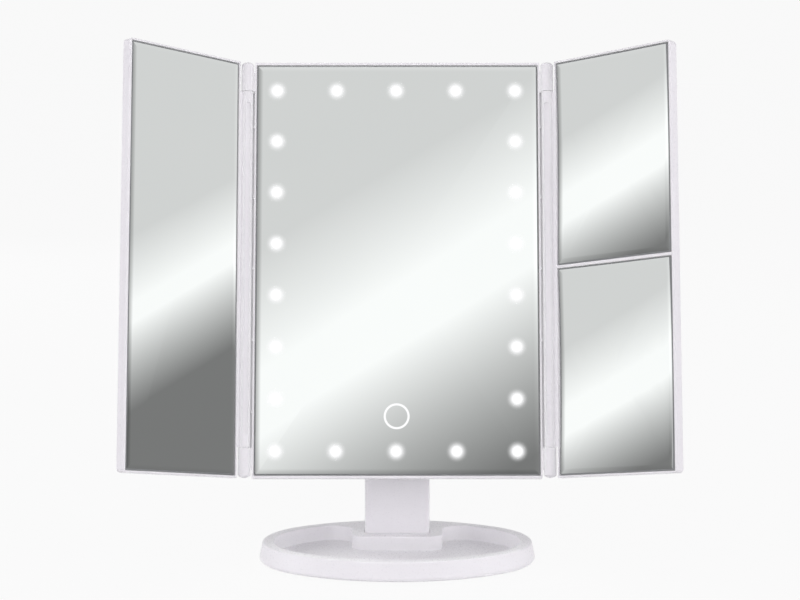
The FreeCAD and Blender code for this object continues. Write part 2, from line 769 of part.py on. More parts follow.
def pivot_ears(cover):
    for start in ("ear_in", "-(ear_out)"):
        grow(cover, SIDEWAYS, start, "ear_thick",
             box("case_inner", "pivot_depth", "-pivot_drop - ear_radius", "-pivot_drop + ear_radius"))
        grow(cover, SIDEWAYS, start, "ear_thick", disc("pivot_depth", "-pivot_drop", "ear_radius"))
    soften(cover, "ear_root", lambda edge: runs_along(edge, "x") and lies_at(edge, "y", "case_depth")
           and lies_off_ear(edge))
    carve(cover, SIDEWAYS, "-(ear_out)", "2 * (ear_out)",
          disc("pivot_depth", "-pivot_drop", "shaft_radius + shaft_play"))
    for start in ("ear_out - pivot_cap_thick", "-(ear_out)"):
        carve(cover, SIDEWAYS, start, "pivot_cap_thick",
              disc("pivot_depth", "-pivot_drop", "pivot_cap_radius"))
    group("pivot_caps", [
        rod("pivot_cap_radius", "pivot_cap_thick", (start, "pivot_depth", "-pivot_drop"), POINTS_RIGHT)
        for start in ("ear_out - pivot_cap_thick", "-(ear_out)")
    ], HEAD)


def lies_off_ear(edge):
    """True for the two root edges of an ear, above and below its arm."""
    heights = reaches(edge, "z")
    return all(abs(abs(height + num("pivot_drop")) - num("ear_radius")) < NEAR for height in heights)


def case_fixings():
    group("case_screws", [
        screw((x, "head_seat + screw_head_height", z), "screw_head_height",
              "head_seat + screw_head_height - boss_meet + screw_bite", POINTS_FORWARD)
        for x, z in CASE_SPOTS
    ], HEAD)


def centre_mirror():
    glass = body("centre_mirror", HEAD)
    grow(glass, TOWARDS_BACK, "0", "glass_thick", centred("half_glass", "glass_top"))
    tape = body("centre_mirror_tape", HEAD)
    grow(tape, TOWARDS_BACK, "glass_thick", "tape_thick", centred("half_glass", "glass_top"),
         centred("half_glass - tape_width", "glass_top - tape_width"))


# Lights and electronics
def light_spots():
    spots = []
    for step in range(LIGHTS_ACROSS):
        across = f"light_x * ({2 * step} / {LIGHTS_ACROSS - 1} - 1)"
        spots += [(across, f"{end} * light_z") for end in ENDS]
    for step in range(1, LIGHTS_UP - 1):
        up = f"light_z * ({2 * step} / {LIGHTS_UP - 1} - 1)"
        spots += [(f"{end} * light_x", up) for end in ENDS]
    return spots


def lights():
    outer = centred("light_x + board_width / 2", "light_z + board_width / 2")
    inner = centred("light_x - board_width / 2", "light_z - board_width / 2")
    board = body("led_board", HEAD)
    grow(board, TOWARDS_BACK, "board_front", "board_thick", outer, inner)
    diffuser = body("light_diffuser", HEAD)
    grow(diffuser, TOWARDS_BACK, "glass_thick", "diffuser_thick", outer, inner)
    group("leds", [
        block(f"{x} - led_length / 2", f"{x} + led_length / 2", "board_front - led_height", "board_front",
              f"{z} - led_width / 2", f"{z} + led_width / 2")
        for x, z in light_spots()
    ], HEAD)


def control():
    board = body("control_board", HEAD)
    grow(board, TOWARDS_BACK, "board_front", "board_thick",
         box("control_shift - control_length / 2", "control_shift + control_length / 2",
             "-touch_drop - control_height / 2", "-touch_drop + control_height / 2"))
    back = "glass_thick + electrode_thick"
    electrode = rod("electrode_radius", "electrode_thick", ("0", back, "-touch_drop"), POINTS_FORWARD)
    group("touch_electrode", [electrode], HEAD)
    length = f"board_front - ({back})"
    pin = rod("contact_pin_radius", length, ("0", "board_front", "-touch_drop"), POINTS_FORWARD)
    group("touch_contact", [pin], HEAD)
    usb = body("charging_socket", HEAD)
    grow(usb, TOWARDS_BACK, "board_back", "case_depth - board_back", socket_section("0"))
    carve(usb, TOWARDS_BACK, "board_back + socket_wall", "case_depth", socket_section("socket_wall"))
    grow(usb, TOWARDS_BACK, "board_back", "case_inner - board_back",
         box("socket_shift - socket_width / 4", "socket_shift + socket_width / 4",
             "-touch_drop - socket_tongue / 2", "-touch_drop + socket_tongue / 2"))


def socket_section(inset):
    return box(f"socket_shift - socket_width / 2 + {inset}", f"socket_shift + socket_width / 2 - {inset}",
               f"-touch_drop - socket_height / 2 + {inset}", f"-touch_drop + socket_height / 2 - {inset}")


def battery():
    cans, contacts = [], []
    shoulder = "cell_length - cell_nub_length"
    for count, step in enumerate(CELL_STEPS):
        x = f"{step} * cell_pitch"
        low = "-battery_drop - cell_length / 2"
        nub_up = count % 2 == 0
        can = rod("cell_radius", shoulder, (x, "cells_mid", low if nub_up else f"{low} + cell_nub_length"))
        nub = rod("cell_nub_radius", "cell_length", (x, "cells_mid", low))
        cans.append(joined("Fuse", can, nub))
        for start in ("cells_low", "cells_high - contact_plate_thick"):
            contacts.append(block(
                f"{x} - contact_plate_width / 2", f"{x} + contact_plate_width / 2",
                "cells_floor", "cells_mid + cell_radius", start, f"{start} + contact_plate_thick"))
    group("battery_cells", cans, HEAD)
    group("battery_contacts", contacts, HEAD)


def battery_door():
    door = body("battery_door", HEAD)
    grow(door, TOWARDS_BACK, "door_back", "door_thick",
         box("-(door_half)", "door_half", "door_low", "hump_high"))
    reach = "door_half + tongue_reach"
    grow(door, TOWARDS_BACK, "door_back", "tongue_thick", box(f"-({reach})", reach, "door_low", "hump_high"))
    grow(door, TOWARDS_BACK, "hump_depth - grip_rise", "2 * grip_rise", *[
        box("-grip_width / 2", "grip_width / 2",
            f"hump_high - grip_drop + {step} * grip_pitch - grip_height / 2",
            f"hump_high - grip_drop + {step} * grip_pitch + grip_height / 2")
        for step in GRIP_STEPS
    ])


# Wings
def wing_tray(label, where, side, windows, seat):
    """Tray of one wing with its hinge barrel; windows are the glasses' lower and upper edges."""
    tray = body(label, where)
    inner, outer = f"{side} * wing_inset", f"{side} * (wing_outer)"
    grow(tray, TOWARDS_BACK, "wing_front", "wing_thick", box(inner, outer, "-(half_panel)", "half_panel"))
    soften(tray, "wing_corner", lambda edge: runs_along(edge, "y") and lies_at(edge, "x", outer))
    soften(tray, "wing_round",
           lambda edge: lies_at(edge, "y", "wing_front") or lies_at(edge, "y", "wing_front + wing_thick"))
    grow(tray, UPWARDS, "-(barrel_end)", "2 * (barrel_end)", disc("0", "0", "barrel_radius"))
    grow(tray, UPWARDS, "-(barrel_end)", "2 * (barrel_end)",
         box("0", f"{side} * (wing_inset + wing_lip_inner)", "wing_front", "barrel_radius"))
    carve(tray, UPWARDS, "-(barrel_end)", "2 * (barrel_end)", disc("0", "0", "pin_radius + pin_play"))
    for low, high in windows:
        carve(tray, TOWARDS_BACK, "0", f"hinge_front + {seat}",
              box(f"{side} * (wing_glass_in - glass_gap)", f"{side} * (wing_glass_out + glass_gap)",
                  f"{low} - glass_gap", f"{high} + glass_gap"))
    barrel_groove(tray, side)


def barrel_groove(tray, side):
    """Long cored groove in the barrel, facing between the glass and the outer side."""
    pocket = tray.newObject("PartDesign::Pocket", "groove")
    end = "(barrel_end - groove_margin)"
    sketch = profile(tray, TOWARDS_BACK, "0", [slot("0", f"-{end}", end, "groove_width / 2")])
    sketch.AttachmentOffset = FreeCAD.Placement(
        FreeCAD.Vector(), FreeCAD.Rotation(FreeCAD.Vector(0, side, 0), num("groove_turn")))
    bind(sketch, "AttachmentOffset.Rotation.Angle", "groove_turn")
    depth = "(barrel_radius - groove_depth)"
    bind(sketch, "AttachmentOffset.Base.x", f"{side} * {depth} * sin(1deg * groove_turn)")
    bind(sketch, "AttachmentOffset.Base.z", f"{depth} * cos(1deg * groove_turn)")
    pocket.Profile = sketch
    bind(pocket, "Length", "groove_depth + overrun")
    pocket.Reversed = True


def wing_glass(side, low, high, front, back):
    left, right = ("wing_glass_in", "wing_glass_out") if side > 0 else ("-(wing_glass_out)", "-(wing_glass_in)")
    return block(left, right, front, back, low, high)


def left_wing():
    low, high = "-(wing_glass_top)", "wing_glass_top"
    back = "hinge_front + wing_glass_thick"
    wing_tray("left_wing_tray", LEFT_WING, -1, [(low, high)], "wing_glass_thick + tape_thick")
    group("left_wing_mirror", [wing_glass(-1, low, high, "hinge_front", back)], LEFT_WING)
    group("left_wing_tape", [wing_glass(-1, low, high, back, f"{back} + tape_thick")], LEFT_WING)


def magnifier(label, low, high, curve):
    """Plate with a hollow spherical front that meets the plate's front plane at its corners."""
    plate = wing_glass(1, low, high, "hinge_front", "hinge_front + magnifier_thick")
    reach = f"sqrt({curve}^2 - (wing_glass_width / 2)^2 - (({high} - ({low})) / 2)^2)"
    ball = solid("Sphere", {"Radius": curve},
                 ("(wing_glass_in + wing_glass_out) / 2", f"hinge_front - {reach}", f"({low} + {high}) / 2"))
    group(label, [joined("Cut", plate, ball)], RIGHT_WING)


def right_wing():
    upper, lower = ("divider_edge", "wing_glass_top"), ("-(wing_glass_top)", "-(divider_edge)")
    back = "hinge_front + magnifier_thick"
    wing_tray("right_wing_tray", RIGHT_WING, 1, [upper, lower], "magnifier_thick + tape_thick")
    magnifier("right_upper_mirror", *upper, "upper_curve")
    magnifier("right_lower_mirror", *lower, "lower_curve")
    tapes = [wing_glass(1, low, high, back, f"{back} + tape_thick") for low, high in (upper, lower)]
    group("right_wing_tapes", tapes, RIGHT_WING)


for build in (
    base_tray, base_plate, base_foot, base_fixings, neck_column, neck_cover, tilt_pivot,
    front_frame, hinge_fixings, rear_cover, case_fixings, centre_mirror, lights, control, battery, battery_door,
    left_wing, right_wing,
):
    build()
doc.recompute()

# Nothing is written unless every object is sound and every cut has cut
for item in doc.Objects:
    if {"Invalid", "Error"} & set(item.State):
        raise RuntimeError(f"{item.Name} ({item.Label}) failed: {item.State}")
    if item.TypeId == "PartDesign::Pocket" and item.Shape.Volume >= item.BaseFeature.Shape.Volume:
        raise RuntimeError(f"{item.Name} cuts nothing")
for item in pieces:
    if item.Shape.isNull() or not item.Shape.isValid():
        raise RuntimeError(f"{item.Label} has no sound shape")
os.makedirs("parts", exist_ok=True)
for item in pieces:
    item.Shape.exportStep(f"parts/{item.Label}.step")
    print(item.Label, len(item.Shape.Solids), round(item.Shape.Volume))
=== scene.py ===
import json
import math

import bmesh
import bpy
from mathutils import Matrix, Vector


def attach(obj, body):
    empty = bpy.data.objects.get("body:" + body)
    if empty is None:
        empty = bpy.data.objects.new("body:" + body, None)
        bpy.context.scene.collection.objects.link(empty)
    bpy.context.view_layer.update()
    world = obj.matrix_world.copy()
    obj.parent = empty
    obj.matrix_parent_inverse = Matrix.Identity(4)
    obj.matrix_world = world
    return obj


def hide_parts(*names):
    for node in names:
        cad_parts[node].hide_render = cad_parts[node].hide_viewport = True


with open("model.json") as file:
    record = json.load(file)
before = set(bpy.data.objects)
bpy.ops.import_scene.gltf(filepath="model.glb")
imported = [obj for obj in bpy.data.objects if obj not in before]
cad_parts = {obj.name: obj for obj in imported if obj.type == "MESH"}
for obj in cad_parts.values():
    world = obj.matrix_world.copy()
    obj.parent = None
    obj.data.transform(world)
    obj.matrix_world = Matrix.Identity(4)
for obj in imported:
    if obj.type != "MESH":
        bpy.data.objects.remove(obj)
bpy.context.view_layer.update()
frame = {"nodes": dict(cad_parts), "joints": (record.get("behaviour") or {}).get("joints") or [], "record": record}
nodes = frame["nodes"]
joints = {joint["name"]: joint for joint in frame["joints"]}
scene = bpy.context.scene
scene.view_settings.view_transform = "Standard"
print("frame loaded:", len(nodes), "nodes")


# where the panels stand

headUp = Vector(joints["left_wing_fold"]["axis"]).normalized()
headRight = Vector((1, 0, 0))
headBack = headUp.cross(headRight)


def axesAt(place, turn):
    flat = Matrix((headRight, headBack, headUp)).transposed().to_4x4()  # x right, y back, z up the panel
    return Matrix.Translation(place) @ turn @ flat


def wingAxes(jointName):
    joint = joints[jointName]
    swing = Matrix.Rotation(math.radians(-joint["range_deg"][0]), 4, Vector(joint["axis"]))
    return axesAt(Vector(joint["pos_m"]), swing)  # at the fold's lower limit the wing lies flat


hingeAt = Vector(joints["left_wing_fold"]["pos_m"])
headAxes = axesAt(Vector((0, hingeAt.y, hingeAt.z)), Matrix.Identity(4))
leftAxes = wingAxes("left_wing_fold")
rightAxes = wingAxes("right_wing_fold")


# boxes of solids, and new pieces

sameSpot = 1e-6  # corners nearer than this are one
sortDigits = 5


def boxOf(points):
    low = Vector([min(p[i] for p in points) for i in range(3)])
    high = Vector([max(p[i] for p in points) for i in range(3)])
    return low, high


def span(nodeName, axes):
    back = axes.inverted()
    return boxOf([back @ v.co for v in nodes[nodeName].data.vertices])


def looseSpans(nodeName, axes):
    # the box of every separate solid in a node, in a fixed order
    mesh = bmesh.new()
    mesh.from_mesh(nodes[nodeName].data)
    bmesh.ops.remove_doubles(mesh, verts=mesh.verts, dist=sameSpot)
    back = axes.inverted()
    left = set(mesh.verts)
    found = []
    while left:
        group, reached = [], [left.pop()]
        while reached:
            vert = reached.pop()
            group.append(vert)
            for side in vert.link_edges:
                other = side.other_vert(vert)
                if other in left:
                    left.remove(other)
                    reached.append(other)
        found.append(boxOf([back @ v.co for v in group]))
    mesh.free()
    return sorted(found, key=lambda box: [round(v, sortDigits) for v in box[0]])


def newObject(name, mesh):
    data = bpy.data.meshes.new(name)
    mesh.to_mesh(data)
    mesh.free()
    thing = bpy.data.objects.new(name, data)
    scene.collection.objects.link(thing)
    return thing


def newPiece(name, mesh, axes, body, materials):
    piece = newObject(name, mesh)
    piece.data.transform(axes)
    for material in materials:
        piece.data.materials.append(material)
    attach(piece, body)
    return piece


def joinLoops(mesh, pairs):
    # quads between rings of corners; each pair has as many corners in both rings
    faces = []
    for near, far in pairs:
        for step in range(len(near)):
            after = (step + 1) % len(near)
            faces.append(mesh.faces.new((near[step], near[after], far[after], far[step])))
    return faces


# node helpers

def link(tree, start, end):
    tree.links.new(start, end)


def addNode(tree, kind, **values):
    node = tree.nodes.new(kind)
    for key, value in values.items():
        setattr(node, key, value)
    return node


def setOrLink(tree, socket, value):
    if isinstance(value, (int, float, tuple)):
        socket.default_value = value
    else:
        link(tree, value, socket)


def newGroup(name, inputs, outputs):
    group = bpy.data.node_groups.new(name, "ShaderNodeTree")
    for label, kind, value in inputs:
        socket = group.interface.new_socket(name=label, in_out="INPUT", socket_type=kind)
        socket.default_value = value
    for label, kind in outputs:
        group.interface.new_socket(name=label, in_out="OUTPUT", socket_type=kind)
    start = addNode(group, "NodeGroupInput")
    end = addNode(group, "NodeGroupOutput")
    return group, start, end


def useGroup(tree, group, values):
    node = addNode(tree, "ShaderNodeGroup", node_tree=group)
    for label, value in values.items():
        node.inputs[label].default_value = value
    return node


def mathNode(tree, operation, *values):
    node = addNode(tree, "ShaderNodeMath", operation=operation)
    for socket, value in zip(node.inputs, values):
        setOrLink(tree, socket, value)
    return node.outputs[0]


def mapNode(tree, value, fromLow, fromHigh, toLow=0.0, toHigh=1.0, smooth=False):
    node = addNode(tree, "ShaderNodeMapRange", clamp=True)
    node.interpolation_type = "SMOOTHSTEP" if smooth else "LINEAR"
    link(tree, value, node.inputs["Value"])
    for label, number in (("From Min", fromLow), ("From Max", fromHigh), ("To Min", toLow), ("To Max", toHigh)):
        setOrLink(tree, node.inputs[label], number)
    return node.outputs["Result"]


def mixColor(tree, factor, first, second):
    node = addNode(tree, "ShaderNodeMix", data_type="RGBA")
    link(tree, factor, node.inputs[0])
    setOrLink(tree, node.inputs[6], first)
    setOrLink(tree, node.inputs[7], second)
    return node.outputs[2]


def noiseNode(tree, vector, scale, detail):
    node = addNode(tree, "ShaderNodeTexNoise")
    link(tree, vector, node.inputs["Vector"])
    setOrLink(tree, node.inputs["Scale"], scale)
    node.inputs["Detail"].default_value = detail
    return node.outputs["Fac"]


def newMaterial(name):
    material = bpy.data.materials.new(name)
    material.use_nodes = True
    tree = material.node_tree
    shader = next(n for n in tree.nodes if n.type == "BSDF_PRINCIPLED")
    return material, tree, shader


def bumpFrom(tree, shader, height, strength, distance):
    bump = addNode(tree, "ShaderNodeBump")
    bump.inputs["Strength"].default_value = strength
    bump.inputs["Distance"].default_value = distance
    link(tree, height, bump.inputs["Height"])
    link(tree, bump.outputs["Normal"], shader.inputs["Normal"])


# shared surface effects

skinShape = {"driftScale": 22.0, "driftDetail": 3.0, "driftRange": (0.35, 0.65),
             "grainDetail": 2.0, "grainRange": (0.3, 0.7), "depth": 0.0001}
metalShape = {"stretch": (1.0, 1.0, 0.06), "detail": 3.0, "range": (0.3, 0.7), "depth": 0.00005}
wipeShape = {"scale": 14.0, "detail": 4.0, "shadeRange": (0.4, 0.7), "hazeRange": (0.4, 0.75),
             "clear": (0.955, 0.965, 0.96, 1), "wiped": (0.945, 0.957, 0.952, 1)}


def makeMouldedSkin():
    # the fine skin of a moulded part: a slow drift of shade and a tight grain
    shape = skinShape
    group, start, end = newGroup("mouldedSkin", [
        ("Pale", "NodeSocketColor", (0.9, 0.9, 0.9, 1)),
        ("Deep", "NodeSocketColor", (0.85, 0.85, 0.85, 1)),
        ("Grain Scale", "NodeSocketFloat", 900.0),
        ("Smooth", "NodeSocketFloat", 0.3),
        ("Rough", "NodeSocketFloat", 0.4),
    ], [("Color", "NodeSocketColor"), ("Roughness", "NodeSocketFloat"), ("Height", "NodeSocketFloat")])
    place = addNode(group, "ShaderNodeTexCoord").outputs["Object"]
    drift = noiseNode(group, place, shape["driftScale"], shape["driftDetail"])
    grain = noiseNode(group, place, start.outputs["Grain Scale"], shape["grainDetail"])
    share = mapNode(group, drift, *shape["driftRange"])
    rough = mapNode(group, grain, *shape["grainRange"], start.outputs["Smooth"], start.outputs["Rough"])
    link(group, mixColor(group, share, start.outputs["Pale"], start.outputs["Deep"]), end.inputs["Color"])
    link(group, rough, end.inputs["Roughness"])
    link(group, grain, end.inputs["Height"])
    return group


def makeDrawnMetal():
    # fine turning lines round or along a metal piece
    shape = metalShape
    group, start, end = newGroup("drawnMetal", [
        ("Bright", "NodeSocketColor", (0.7, 0.7, 0.7, 1)),
        ("Dull", "NodeSocketColor", (0.5, 0.5, 0.5, 1)),
        ("Line Scale", "NodeSocketFloat", 1600.0),
        ("Smooth", "NodeSocketFloat", 0.2),
        ("Rough", "NodeSocketFloat", 0.4),
    ], [("Color", "NodeSocketColor"), ("Roughness", "NodeSocketFloat"), ("Height", "NodeSocketFloat")])
    place = addNode(group, "ShaderNodeTexCoord").outputs["Object"]
    stretch = addNode(group, "ShaderNodeMapping")
    stretch.inputs["Scale"].default_value = shape["stretch"]
    link(group, place, stretch.inputs["Vector"])
    lines = noiseNode(group, stretch.outputs["Vector"], start.outputs["Line Scale"], shape["detail"])
    share = mapNode(group, lines, *shape["range"])
    rough = mapNode(group, lines, *shape["range"], start.outputs["Smooth"], start.outputs["Rough"])
    link(group, mixColor(group, share, start.outputs["Bright"], start.outputs["Dull"]), end.inputs["Color"])
    link(group, rough, end.inputs["Roughness"])
    link(group, lines, end.inputs["Height"])
    return group


def makeWipedGlass():
    # a faint trace of wiping on silvered glass
    shape = wipeShape
    group, start, end = newGroup("wipedGlass", [
        ("Clean", "NodeSocketFloat", 0.0),
        ("Hazy", "NodeSocketFloat", 0.03),
    ], [("Color", "NodeSocketColor"), ("Roughness", "NodeSocketFloat")])
    place = addNode(group, "ShaderNodeTexCoord").outputs["Object"]
    wipe = noiseNode(group, place, shape["scale"], shape["detail"])
    share = mapNode(group, wipe, *shape["shadeRange"])
    rough = mapNode(group, wipe, *shape["hazeRange"], start.outputs["Clean"], start.outputs["Hazy"])
    link(group, mixColor(group, share, shape["clear"], shape["wiped"]), end.inputs["Color"])
    link(group, rough, end.inputs["Roughness"])
    return group


mouldedSkin = makeMouldedSkin()
drawnMetal = makeDrawnMetal()
wipedGlass = makeWipedGlass()


def mouldedMaterial(name, look):
    material, tree, shader = newMaterial(name)
    skin = useGroup(tree, mouldedSkin, {
        "Pale": look["pale"], "Deep": look["deep"], "Grain Scale": look["grain"],
        "Smooth": look["smooth"], "Rough": look["rough"],
    })
    link(tree, skin.outputs["Color"], shader.inputs["Base Color"])
    link(tree, skin.outputs["Roughness"], shader.inputs["Roughness"])
    bumpFrom(tree, shader, skin.outputs["Height"], look["bump"], skinShape["depth"])
    shader.inputs["Specular IOR Level"].default_value = look["gloss"]
    return material


def metalMaterial(name, look):
    material, tree, shader = newMaterial(name)
    metal = useGroup(tree, drawnMetal, {
        "Bright": look["bright"], "Dull": look["dull"], "Line Scale": look["lines"],
        "Smooth": look["smooth"], "Rough": look["rough"],
    })
    link(tree, metal.outputs["Color"], shader.inputs["Base Color"])
    link(tree, metal.outputs["Roughness"], shader.inputs["Roughness"])
    bumpFrom(tree, shader, metal.outputs["Height"], look["bump"], metalShape["depth"])
    shader.inputs["Metallic"].default_value = 1.0
    return material


def silverMaterial(name, look):
    material, tree, shader = newMaterial(name)
    wiped = useGroup(tree, wipedGlass, {"Clean": look["clean"], "Hazy": look["hazy"]})
    link(tree, wiped.outputs["Color"], shader.inputs["Base Color"])
    link(tree, wiped.outputs["Roughness"], shader.inputs["Roughness"])
    shader.inputs["Metallic"].default_value = 1.0
    return material


shellLook = {"pale": (0.886, 0.884, 0.891, 1), "deep": (0.873, 0.871, 0.879, 1), "grain": 1100.0,
             "smooth": 0.26, "rough": 0.34, "bump": 0.004, "gloss": 0.45}
plateLook = {"pale": (0.84, 0.84, 0.85, 1), "deep": (0.81, 0.81, 0.822, 1), "grain": 700.0,
             "smooth": 0.45, "rough": 0.6, "bump": 0.3, "gloss": 0.35}
rubberLook = {"pale": (0.62, 0.62, 0.63, 1), "deep": (0.55, 0.55, 0.565, 1), "grain": 520.0,
              "smooth": 0.6, "rough": 0.8, "bump": 0.5, "gloss": 0.25}
nylonLook = {"pale": (0.8, 0.79, 0.74, 1), "deep": (0.75, 0.74, 0.69, 1), "grain": 900.0,
             "smooth": 0.35, "rough": 0.5, "bump": 0.1, "gloss": 0.4}
tapeLook = {"pale": (0.8, 0.8, 0.78, 1), "deep": (0.74, 0.74, 0.72, 1), "grain": 600.0,
            "smooth": 0.7, "rough": 0.9, "bump": 0.5, "gloss": 0.2}
boardLook = {"pale": (0.86, 0.86, 0.84, 1), "deep": (0.8, 0.8, 0.78, 1), "grain": 420.0,
             "smooth": 0.4, "rough": 0.55, "bump": 0.15, "gloss": 0.4}
resinLook = {"pale": (0.9, 0.82, 0.4, 1), "deep": (0.85, 0.75, 0.32, 1), "grain": 800.0,
             "smooth": 0.2, "rough": 0.35, "bump": 0.1, "gloss": 0.5}
filmLook = {"pale": (0.88, 0.88, 0.87, 1), "deep": (0.83, 0.83, 0.82, 1), "grain": 1200.0,
            "smooth": 0.5, "rough": 0.7, "bump": 0.2, "gloss": 0.3}
laminateLook = {"pale": (0.03, 0.16, 0.07, 1), "deep": (0.02, 0.11, 0.05, 1), "grain": 380.0,
                "smooth": 0.3, "rough": 0.45, "bump": 0.2, "gloss": 0.5}
sleeveLook = {"pale": (0.16, 0.17, 0.19, 1), "deep": (0.125, 0.135, 0.15, 1), "grain": 900.0,
              "smooth": 0.24, "rough": 0.36, "bump": 0.05, "gloss": 0.5}
screwLook = {"bright": (0.72, 0.72, 0.73, 1), "dull": (0.56, 0.56, 0.57, 1), "lines": 1800.0,
             "smooth": 0.2, "rough": 0.36, "bump": 0.15}
pinLook = {"bright": (0.76, 0.76, 0.77, 1), "dull": (0.62, 0.62, 0.63, 1), "lines": 2400.0,
           "smooth": 0.14, "rough": 0.28, "bump": 0.1}
copperLook = {"bright": (0.86, 0.5, 0.33, 1), "dull": (0.7, 0.37, 0.23, 1), "lines": 1500.0,
              "smooth": 0.22, "rough": 0.4, "bump": 0.1}
socketLook = {"bright": (0.1, 0.1, 0.105, 1), "dull": (0.06, 0.06, 0.064, 1), "lines": 1200.0,
              "smooth": 0.25, "rough": 0.4, "bump": 0.1}
contactLook = {"bright": (0.52, 0.51, 0.47, 1), "dull": (0.4, 0.39, 0.36, 1), "lines": 1400.0,
               "smooth": 0.18, "rough": 0.34, "bump": 0.1}
silverLook = {"clean": 0.0, "hazy": 0.02}
# the glasses' ground edge: the glass's own arris, darkened as painted shade of the gap between glass and lip
groundEdgeShadeLook = {"pale": (0.24, 0.25, 0.25, 1), "deep": (0.2, 0.21, 0.21, 1), "grain": 2000.0,
              "smooth": 0.35, "rough": 0.55, "bump": 0.2, "gloss": 0.5}
paintLook = {"pale": (0.3, 0.31, 0.32, 1), "deep": (0.25, 0.26, 0.27, 1), "grain": 500.0,
             "smooth": 0.5, "rough": 0.7, "bump": 0.3, "gloss": 0.3}

finishes = {
    "white_shell": mouldedMaterial("whiteShell", shellLook),
    "white_plate": mouldedMaterial("whitePlate", plateLook),
    "foot_rubber": mouldedMaterial("footRubber", rubberLook),
    "washer_nylon": mouldedMaterial("washerNylon", nylonLook),
    "mounting_tape": mouldedMaterial("mountingTape", tapeLook),
    "light_board": mouldedMaterial("lightBoard", boardLook),
    "led_resin": mouldedMaterial("ledResin", resinLook),
    "diffuser_film": mouldedMaterial("diffuserFilm", filmLook),
    "control_laminate": mouldedMaterial("controlLaminate", laminateLook),
    "socket_shell": metalMaterial("socketShell", socketLook),
    "screw_steel": metalMaterial("screwSteel", screwLook),
    "pin_steel": metalMaterial("pinSteel", pinLook),
    "copper": metalMaterial("copperTrack", copperLook),
    "cell_can": mouldedMaterial("cellSleeve", sleeveLook),
    "contact_plate": metalMaterial("contactPlate", contactLook),
    "silvered_glass": silverMaterial("silveredGlass", silverLook),
    "magnifying_mirror": silverMaterial("magnifyingMirror", silverLook),
}
groundEdgeShade = mouldedMaterial("groundEdgeShade", groundEdgeShadeLook)
backPaint = mouldedMaterial("backPaint", paintLook)

slotOf = {entry["node"]: entry["material_slot"] for entry in frame["record"]["subparts"]}
for nodeName, thing in nodes.items():
    thing.data.materials.clear()
    thing.data.materials.append(finishes[slotOf.get(nodeName, "white_shell")])
print("finishes laid:", len(finishes), "on", len(nodes), "nodes;", len(slotOf), "named")


# the glasses

glassShape = {"bevel": 0.0029, "arris": 0.0008, "arrisDrop": 0.0003, "corner": 0.0012, "leastCorner": 0.0003,
              "perSide": 14, "perCorner": 5, "bevelSteps": 7, "faceSteps": 9, "faceShare": 0.98, "shadeTrimPower": 8}
bevelDrop = {"centre_mirror": 0.00011, "left_wing_mirror": 0.000042,
             "right_upper_mirror": 0.000021, "right_lower_mirror": 0.000014}
# the dark ground edge is wider on the outer side: painted shade where the lip stands high over the hollow face
outerShadeTrim = {"right_upper_mirror": 0.0009, "right_lower_mirror": 0.0011}
hollowRadius = {"right_upper_mirror": 1.6, "right_lower_mirror": 1.2}


def ringPoints(halfWide, halfHigh, corner, shape):
    # a rounded oblong with points spread along its sides
    corners = []
    for sx, sz, turn in ((1, 1, 0), (-1, 1, 90), (-1, -1, 180), (1, -1, 270)):
        arc = []
        for step in range(shape["perCorner"] + 1):
            angle = math.radians(turn + 90 * step / shape["perCorner"])
            arc.append((sx * (halfWide - corner) + corner * math.cos(angle),
                        sz * (halfHigh - corner) + corner * math.sin(angle)))
        corners.append(arc)
    points = []
    for index, arc in enumerate(corners):
        points += arc
        after = corners[(index + 1) % 4][0]
        for step in range(1, shape["perSide"]):
            share = step / shape["perSide"]
            points.append((arc[-1][0] + (after[0] - arc[-1][0]) * share,
                           arc[-1][1] + (after[1] - arc[-1][1]) * share))
    return points


